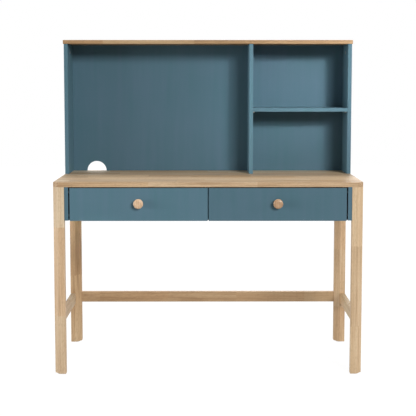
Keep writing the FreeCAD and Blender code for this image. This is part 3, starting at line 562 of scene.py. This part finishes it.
# Where each one's head looks out, in mm, and the way it looks.
railRows = np.linspace(-184.5, 145.5, 3)
bracketRows = (-118.5, 141.5)
backRows = np.linspace(815.0, 1238.0, 4)
boltRows = (627.0, 717.0)
uprights = (-592.0, 180.8, 592.0)
railLevel = 663.5
screwSpots = {
    "hutch_back_screws": [((x, 261.5, z), (0, 1, 0)) for x in uprights for z in backRows]
                         + [((x, 261.5, 1024.0), (0, 1, 0)) for x in (248.8, 524.0)],
    "case_screws": mirrored([(535.6, y, railLevel) for y in railRows], (-1, 0, 0))
                   + mirrored([(11.4, y, railLevel) for y in railRows], (1, 0, 0))
                   + mirrored([(534.8, y, 723.0) for y in bracketRows], (-1, 0, 0))
                   + mirrored([(525.0, y, 732.8) for y in bracketRows], (0, 0, -1))
                   + mirrored([(269.5, 221.3, 723.0)], (0, -1, 0))
                   + mirrored([(269.5, 211.5, 732.8)], (0, 0, -1))
                   + [((-12.2, -118.5, 723.0), (-1, 0, 0)), ((-22.0, -118.5, 732.8), (0, 0, -1)),
                      ((12.2, 141.5, 723.0), (1, 0, 0)), ((22.0, 141.5, 732.8), (0, 0, -1))],
    "right_drawer_screws": [((529.7, y, railLevel), (1, 0, 0)) for y in railRows]
                           + [((17.3, y, railLevel), (-1, 0, 0)) for y in railRows]
                           + [((x, 173.5, z), (out, 0, 0)) for x, out in ((526.3, 1), (20.7, -1))
                              for z in (640.5, 698.5)],
    "left_knob_screw": [((-268.625, -218.3, 674.0), (0, 1, 0))],
    "right_knob_screw": [((268.625, -218.3, 674.0), (0, 1, 0))],
}
screwSpots["left_drawer_screws"] = [((-x, y, z), (-out[0], 0, 0))
                                    for (x, y, z), out in screwSpots["right_drawer_screws"]]
boltSpots = {
    "leg_bolts": mirrored([(539.0, y, z) for y in (-224.5, 247.5) for z in boltRows], (-1, 0, 0)),
    "hutch_bolts": [((x, y, 734.5), (0, 0, -1)) for x in uprights for y in (126.5, 186.5)],
}
# how far each kind's shank reaches under its head, in mm
shankReach = {"hutch_back_screws": 34.8, "case_screws": 8.2, "left_drawer_screws": 8.2,
              "right_drawer_screws": 8.2, "left_knob_screw": 29.0, "right_knob_screw": 29.0,
              "leg_bolts": 28.5, "hutch_bolts": 50.0}
for drive, everySpot in (("cross", screwSpots), ("hex", boltSpots)):
    for name, spots in everySpot.items():
        side = name.split("_")[0]
        body = side + "_drawer" if side in ("left", "right") else "desk_frame"
        shape = headedShape(shankReach[name], **fixings[drive])
        newPiece(drive + "Head_" + name, *copiesAt(shape, spots), body, "steel",
                 plain["zincPlatedSteel"], name)
print("screws and bolts done")

# Cam, mm: a flat face with a broken edge and a deep cross, on a straight barrel.
camLook = {
    "radius": 7.5,
    "edge": 0.4,
    "length": 12.0,
    "cross": (1.1, 4.4, 2.4),   # half its width, its reach and its depth
    "spots": [((-584.0, 175.5, 1264.0), (1, 0, 0)), ((188.8, 175.5, 1264.0), (1, 0, 0)),
              ((584.0, 175.5, 1264.0), (-1, 0, 0))],
}


def camShape(look=camLook, steps=20, columns=48):
    radius, edge, length = look["radius"], look["edge"], look["length"]
    face = [((radius - edge) * t, 0.0) for t in np.linspace(0, 1, steps)]
    return turnedShape(face + [(radius, -edge), (radius, -length), (0, -length)], columns,
                       {"rings": steps - 1, "cut": crossDrive(*look["cross"])})


newPiece("camLocks", *copiesAt(camShape(), camLook["spots"]), "desk_frame", "zinc", plain["castZinc"],
         "hutch_cams")

# Glide, mm: a sole that curves up to its rim, and a nail that holds it in the leg.
glideLook = {
    "radius": 14.0,
    "curve": (2.8, 1.8),    # the rim's quarter ellipse, across and up
    "flat": 6.0,            # radius of the first ring round the sole's middle
    "thickness": 3.0,
    "nail": (2.5, 17.0, 1.8),   # radius, depth of its tip and length of its point
    "spots": [((x, y, 0.0), (0, 0, -1)) for x in (-577.5, 577.5) for y in (-216.0, 239.0)],
}


def glideShape(look=glideLook, steps=9, columns=40):
    (wide, high), (nail, tip, point) = look["curve"], look["nail"]
    edge = look["radius"] - wide
    rim = [(edge + wide * math.sin(a), -high + high * math.cos(a))
           for a in np.linspace(0, math.pi / 2, steps)[1:]]
    rear = [(look["radius"], -look["thickness"]), (nail, -look["thickness"]), (nail, point - tip)]
    return turnedShape([(0, 0), (look["flat"], 0), (edge, 0)] + rim + rear + [(0, -tip)], columns)


newPiece("nailGlides", *copiesAt(glideShape(), glideLook["spots"]), "desk_frame", "glide_nylon",
         plain["mouldedNylon"], "foot_glides")
print("cams and glides done")

# Knob, turned on a lathe from close-grained oak and waxed. Heights are measured from the
# drawer front, in mm.
knobLook = {
    "radius": 18.8,
    "length": 25.0,
    "rimDepth": 5.5,
    "dishRadius": 9.0,
    "dishDepth": 0.8,
    "neckRadius": 12.0,
    "neckTop": 6.0,
    "sideBottom": 15.5,
    "footEdge": 0.4,
    "centre": (268.625, -236.5, 674.0),
    "seed": 31.0,
    "tints": {"left": "#ffffff", "right": "#d4cac0"},
    "wood": {"roughness": (0.2, 0.32), "gloss": 0.5, "endShare": 0.0},
}


def knobProfile(look=knobLook, dishSteps=12, steps=18):
    # dish: height falls by depth * (1 - (r / dish) ** 2) ** 2; rim: a quarter ellipse;
    # flare: radius eases from side to neck by half a cosine wave
    rim, radius, neck, inner = look["rimDepth"], look["radius"], look["neckRadius"], look["dishRadius"]
    dish = [(r, look["length"] - look["dishDepth"] * (1 - (r / inner) ** 2) ** 2)
            for r in np.linspace(0, inner, dishSteps)]
    turned = [(inner + (radius - inner) * math.sin(a), look["length"] - rim + rim * math.cos(a))
              for a in np.linspace(0, math.pi / 2, steps)[1:]]
    flare = [(neck + (radius - neck) * (1 + math.cos(math.pi * t)) / 2,
              look["sideBottom"] + (look["neckTop"] - look["sideBottom"]) * t)
             for t in np.linspace(0, 1, steps)]
    return dish + turned + flare + [(neck, look["footEdge"]), (neck - look["footEdge"], 0.0), (0, 0.0)]


knobShape = turnedShape(knobProfile(), columns=96)
x, y, z = knobLook["centre"]
for sign, side in ((-1, "left"), (1, "right")):
    oak = makeOak("turnedOak_" + side, "Z", knobLook["seed"] + sign, knobLook["tints"][side],
                  look={**oakLook, **knobLook["wood"]})
    newPiece("turnedKnob_" + side, *copiesAt(knobShape, [((sign * x, y, z), (0, -1, 0))]),
             side + "_drawer", "oak_solid", oak, side + "_drawer_knob", sharp=50.0)
print("knobs done")

# Drawer fronts, mm: eased edges, and a little more air towards the case sides.
frontLook = {
    "low": (1.75, -236.5, 605.5),
    "high": (534.4, -220.5, 733.5),
    "ease": 1.4,
    "corner": 1.7,
}


def easedBoard(low, high, ease, corner, steps=6):
    # Board that faces along Y. Ring = rounded rectangle drawn in by ease * (1 - cos b) while
    # the depth runs ease * (1 - sin b) from either face, with b from the face to the side.
    low, high = np.array(low, float), np.array(high, float)
    turn = np.linspace(0, math.pi / 2, steps)
    drawn = np.concatenate([ease * (1 - np.sin(turn)), ease * (1 - np.sin(turn[::-1]))])[:, None]
    depth = np.concatenate([low[1] + ease * (1 - np.cos(turn)), high[1] - ease * (1 - np.cos(turn[::-1]))])
    around = (np.arange(4)[:, None] * math.pi / 2 + turn).ravel()[None, :]
    sideX = np.repeat([1, -1, -1, 1], steps) * ((high[0] - low[0]) / 2 - corner)
    sideZ = np.repeat([1, 1, -1, -1], steps) * ((high[2] - low[2]) / 2 - corner)
    x = (low[0] + high[0]) / 2 + sideX + (corner - drawn) * np.cos(around)
    z = (low[2] + high[2]) / 2 + sideZ + (corner - drawn) * np.sin(around)
    points = np.stack(np.broadcast_arrays(x, depth[:, None], z), -1).reshape(-1, 3)
    rows, columns = 2 * steps, 4 * steps
    caps = [list(range(columns)), list(range(rows * columns - 1, (rows - 1) * columns - 1, -1))]
    return points * mm, outward(points, gridFaces(rows, columns) + caps)


for sign, side in ((-1, "left"), (1, "right")):
    ends = sorted(sign * frontLook[end][0] for end in ("low", "high"))
    low, high = [(x, *frontLook[end][1:]) for x, end in zip(ends, ("low", "high"))]
    newPiece("easedFront_" + side, *easedBoard(low, high, frontLook["ease"], frontLook["corner"]),
             side + "_drawer", "blue_lacquer", lacquerFronts[side], side + "_drawer_front", sharp=40.0)
print("drawer fronts done")

# Runner rails, mm from the mounting face towards the drawer: where the web's outer face
# stands, which way the lips run, how long they are, half the rail's height and how far the
# web swells towards its middle.
railLook = {
    "cabinet": {"web": 0.0, "way": 1, "lip": 9.2, "half": 17.5, "rib": 0.0},
    "middle": {"web": 4.0, "way": 1, "lip": 6.9, "half": 15.95, "rib": 1.4},
    "sliding": {"web": 12.7, "way": -1, "lip": 6.7, "half": 14.4, "rib": 0.0},
}
railSteel = {
    "sheet": 1.2,
    "bend": 1.1,            # radius of the sheet's middle round a corner
    "pastBend": 1.0,
    "span": (-214.5, 175.5),    # from the front end to the rear end
    "ribHalf": 7.5,
    "ribSlope": 2.5,
}

# mounting faces of the four runners, and the way towards their drawer
mounts = {("left", "left"): (-539.0, 1), ("left", "right"): (-8.0, -1),
          ("right", "left"): (8.0, 1), ("right", "right"): (539.0, -1)}


def railShape(mount, toward, web, way, lip, half, rib, steel=railSteel, bendSteps=7, webSteps=30):
    # Centre line: lip, quarter circle, web, quarter circle, lip. The web swells by
    # rib * smooth step, and the skin lies half a sheet to each side along the normal. A
    # point shortly past each bend keeps the shading of the lips flat.
    sheet, bend = steel["sheet"], steel["bend"]
    reach = half - sheet / 2
    turn = np.linspace(0, math.pi / 2, bendSteps)
    straight = np.linspace(reach - bend, bend - reach, webSteps)
    swell = clipped((steel["ribHalf"] - abs(straight)) / steel["ribSlope"])
    middle = sheet / 2 + bend
    past = middle + steel["pastBend"]
    out = np.concatenate([[lip, past], middle - bend * np.sin(turn),
                          sheet / 2 + rib * swell ** 2 * (3 - 2 * swell),
                          middle - bend * np.cos(turn), [past, lip]])
    up = np.concatenate([[reach, reach], reach - bend + bend * np.cos(turn), straight,
                         bend - reach - bend * np.sin(turn), [-reach, -reach]])
    # two stretches that meet share a point, and one of the two goes
    keep = np.append(True, np.hypot(np.diff(out), np.diff(up)) > 0.001)
    out, up = out[keep], up[keep]
    alongOut, alongUp = np.gradient(out), np.gradient(up)
    size = np.hypot(alongOut, alongUp)
    offset = np.stack([alongUp, -alongOut]) / size * sheet / 2
    line = np.stack([out, up])
    loop = np.concatenate([line + offset, (line - offset)[:, ::-1]], axis=1)
    count, total = line.shape[1], loop.shape[1]
    x = mount + toward * (web + way * loop[0])
    points = np.concatenate([np.stack([x, 0 * x + y, railLevel + loop[1]], axis=1)
                             for y in steel["span"]])
    step = np.arange(count - 1)
    cap = np.stack([step + 1, step, total - 1 - step, total - 2 - step], axis=1)
    faces = gridFaces(2, total) + cap.tolist() + (cap[:, ::-1] + total).tolist()
    return points * mm, outward(points, faces)


# Black plastic trim of the runners, mm from the mounting face: where it stands, half its
# size along X, Y and Z, and how square it is, from 1, a ball, to 0, a box.
trimLook = {
    "stopPad": {"out": 2.5, "y": -209.0, "half": (1.2, 5.0, 10.0), "power": 0.35},
    "railCap": {"out": 4.85, "y": -215.6, "half": (0.95, 0.9, 15.9), "power": 0.2},
    "releaseLever": {"out": 10.0, "y": -128.0, "half": (1.4, 24.0, 5.0), "power": 0.5},
}

# Black strip behind a front's outer end: painted shadow, a dark piece that keeps the gap
# beside the front dark. In three joined parts: half its width, its level and half its height.
# The middle part is narrow where the rails pass.
gapShadeStripLook = {
    "y": -218.4,
    "halfDepth": 0.9,
    "power": 0.12,
    "parts": ((5.5, 707.9, 25.1), (1.7, railLevel, 20.5), (5.5, 625.6, 19.4)),
}


def padShape(centre, half, power, rows=18, columns=28):
    # Rounded block: centre + half * (c(u) c(v), c(u) s(v), s(u)), where c and s are the
    # cosine and sine raised to a power with their sign kept.
    u = np.linspace(-math.pi / 2, math.pi / 2, rows)[1:-1, None]
    v = np.linspace(0, 2 * math.pi, columns, endpoint=False)[None, :]
    fold = [np.sign(w) * abs(w) ** power for w in (np.cos(u), np.sin(u), np.cos(v), np.sin(v))]
    grid = np.stack(np.broadcast_arrays(fold[0] * fold[2], fold[0] * fold[3], fold[1]), -1)
    points = np.concatenate([[[0, 0, -1]], grid.reshape(-1, 3), [[0, 0, 1]]]) * half + centre
    low = fanFaces(0, 1, columns, way=-1)
    high = fanFaces(len(points) - 1, 1 + (rows - 3) * columns, columns)
    faces = low + gridFaces(rows - 2, columns, 1) + high
    return points * mm, outward(points, faces)


def addTrim(name, shape, body):
    newPiece(name, *shape, body, "glide_nylon", plain["mouldedAcetal"], None)


def trimShape(kind, mount, toward):
    look = trimLook[kind]
    return padShape((mount + toward * look["out"], look["y"], railLevel), look["half"], look["power"])


for (drawer, side), (mount, toward) in mounts.items():
    bodies = {"cabinet": "desk_frame", "middle": drawer + "_runner_middle",
              "sliding": drawer + "_drawer"}
    for kind, look in railLook.items():
        node = drawer + "_drawer_" + side + "_" + kind + "_rail"
        newPiece("rolled_" + node, *railShape(mount, toward, **look), bodies[kind], "runner_steel",
                 plain["rolledZincSteel"], node)
    addTrim("stopPad_" + drawer + "_" + side, trimShape("stopPad", mount, toward), "desk_frame")
    if drawer == side:
        # the runner at the case's side, beside the gap, where a black strip is painted shadow
        parts = [padShape((mount + toward * wide, gapShadeStripLook["y"], level),
                          (wide, gapShadeStripLook["halfDepth"], half), gapShadeStripLook["power"])
                 for wide, level, half in gapShadeStripLook["parts"]]
        addTrim("gapShadeStrip_" + drawer, joined(*parts), "desk_frame")
        addTrim("railCap_" + drawer, trimShape("railCap", mount, toward), drawer + "_runner_middle")
    addTrim("releaseLever_" + drawer + "_" + side, trimShape("releaseLever", mount, toward),
            drawer + "_drawer")
print("runners done")

stageLook = {
    "floorColour": "#a0a0a0",   # what it throws back at the desk
    "floorRadius": 9.0,
    "nearFloor": "#ffffff",     # the floor's colour where it is seen
    "whiteStrength": 1.05,
    "shadowShare": 0.09,    # how much of the lit floor shows through the white
    "shadowReach": (0.6, 1.6),  # m from the desk's middle: the shadow starts to fade, is gone
    "ambient": 0.085,
}

# Soft boxes: watts, size in m, azimuth and elevation in degrees, distance in m, aim point
# and how wide the light fans out, in degrees. Two narrow ones reach into a bay and to a leg.
lampLook = {
    "keyLamp": (1500.0, (5.2, 3.2), 26.5, 21.5, 14.0, (0, 0, 0.75), 180.0),
    "bayLamp": (0.64, (0.5, 0.4), 27.0, 21.5, 3.5, (0.47, 0.2, 1.13), 12.5),
    "leftLamp": (315.0, (4.4, 2.0), -76.0, 6.0, 7.0, (0, 0, 0.6), 180.0),
    "rightLamp": (100.0, (2.4, 2.4), 80.0, 14.0, 7.0, (0, 0, 0.6), 180.0),
    "topLamp": (72.0, (1.4, 0.8), 180.0, 80.0, 3.6, (0.1, 0, 0.9), 180.0),
    "legLamp": (0.042, (0.1, 0.16), 20.0, -4.0, 3.5, (-0.577, 0.2165, 0.52), 3.2),
    "rearLamp": (110.0, (1.6, 1.6), 168.0, 34.0, 4.5, (0, 0, 0.8), 180.0),
}


def whiteRays(tree):
    # whether a ray is a direct look, and whether it is one that should meet plain white
    path = addNode(tree, "ShaderNodeLightPath").outputs
    seen = addNode(tree, "ShaderNodeMath", {0: path["Is Camera Ray"], 1: path["Is Glossy Ray"]},
                   operation="MAXIMUM")
    clear = addNode(tree, "ShaderNodeMath", {0: seen, 1: path["Is Transmission Ray"]},
                    operation="MAXIMUM")
    return path["Is Camera Ray"], clear


def makeWorld(look=stageLook):
    world = bpy.data.worlds.new("softStudio")
    world.use_nodes = True
    tree = world.node_tree
    tree.nodes.clear()
    ambient, white = [addNode(tree, "ShaderNodeBackground", {"Color": (1, 1, 1, 1), "Strength": strength})
                      for strength in (look["ambient"], 1.0)]
    shown = addNode(tree, "ShaderNodeMixShader", {0: whiteRays(tree)[1], 1: ambient, 2: white})
    addNode(tree, "ShaderNodeOutputWorld", {"Surface": shown})
    bpy.context.scene.world = world


def makeFloor(look=stageLook, columns=96, rows=12):
    # a flat disc: rings of points at growing radius round the origin
    turns = np.linspace(0, 2 * math.pi, columns, endpoint=False)
    radii = np.linspace(0.0, 1.0, rows)[1:] ** 2 * look["floorRadius"]
    ring = np.stack([np.cos(turns), np.sin(turns), 0 * turns], axis=1)
    points = np.concatenate([[[0, 0, 0]], (radii[:, None, None] * ring).reshape(-1, 3)])
    quads = [quad[::-1] for quad in gridFaces(rows - 1, columns, 1)]
    mesh = bpy.data.meshes.new("studioFloor")
    mesh.from_pydata(points.tolist(), [], fanFaces(0, 1, columns) + quads)
    floor = bpy.data.objects.new("studioFloor", mesh)
    bpy.context.scene.collection.objects.link(floor)
    material, tree, place = newMaterial("paleFloor")
    away = addNode(tree, "ShaderNodeVectorMath", {0: place}, operation="LENGTH").outputs["Value"]
    low, high = look["shadowReach"]
    share = addNode(tree, "ShaderNodeMapRange",
                    {"Value": away, "From Min": low, "From Max": high,
                     "To Min": 1 - look["shadowShare"], "To Max": 1.0}, interpolation_type="SMOOTHSTEP")
    seen, clear = whiteRays(tree)
    whiteShare = addNode(tree, "ShaderNodeMath", {0: clear, 1: share}, operation="MULTIPLY")
    shade = addNode(tree, "ShaderNodeMix", {0: seen, 6: linearColour(look["floorColour"]),
                                            7: linearColour(look["nearFloor"])},
                    data_type="RGBA").outputs[2]
    matt = addNode(tree, "ShaderNodeBsdfDiffuse", {"Color": shade})
    white = addNode(tree, "ShaderNodeEmission", {"Color": (1, 1, 1, 1),
                                                 "Strength": look["whiteStrength"]})
    above = addNode(tree, "ShaderNodeMixShader", {0: whiteShare, 1: matt, 2: white})
    # from below the floor lets the underside of the desk be seen
    below = addNode(tree, "ShaderNodeNewGeometry").outputs["Backfacing"]
    clearFloor = addNode(tree, "ShaderNodeBsdfTransparent")
    shown = addNode(tree, "ShaderNodeMixShader", {0: below, 1: above, 2: clearFloor})
    addNode(tree, "ShaderNodeOutputMaterial", {"Surface": shown})
    mesh.materials.append(material)


def addLamp(name, power, size, azimuth, elevation, distance, target, fan):
    # azimuth 0 stands in front of the desk and grows to the right
    data = bpy.data.lights.new(name, "AREA")
    data.shape = "RECTANGLE"
    data.size, data.size_y = size
    data.energy = power
    data.spread = math.radians(fan)
    lamp = bpy.data.objects.new(name, data)
    bpy.context.scene.collection.objects.link(lamp)
    turn, rise = math.radians(azimuth), math.radians(elevation)
    lamp.location = (target[0] + distance * math.sin(turn) * math.cos(rise),
                     target[1] - distance * math.cos(turn) * math.cos(rise),
                     target[2] + distance * math.sin(rise))
    lamp.rotation_euler = (math.pi / 2 - rise, 0, turn)


cameraLook = {
    "place": (-0.0121, -3.8131, 1.1426),
    "down": 4.69,       # degrees
    "turn": -0.18,      # degrees
    "lens": 80.93,      # mm
    "sensor": 36.0,     # mm, its width
    "shift": -0.12,     # as a share of the sensor
}


def makeCamera(look=cameraLook):
    data = bpy.data.cameras.new("frontCamera")
    data.lens = look["lens"]
    data.sensor_width = look["sensor"]
    data.shift_y = look["shift"]
    camera = bpy.data.objects.new("frontCamera", data)
    bpy.context.scene.collection.objects.link(camera)
    camera.location = look["place"]
    camera.rotation_euler = (math.radians(90 - look["down"]), 0, math.radians(look["turn"]))
    bpy.context.scene.camera = camera


makeWorld()
makeFloor()
for name, facts in lampLook.items():
    addLamp(name, *facts)
makeCamera()
bpy.context.scene.view_settings.view_transform = "Standard"
print("stage done")
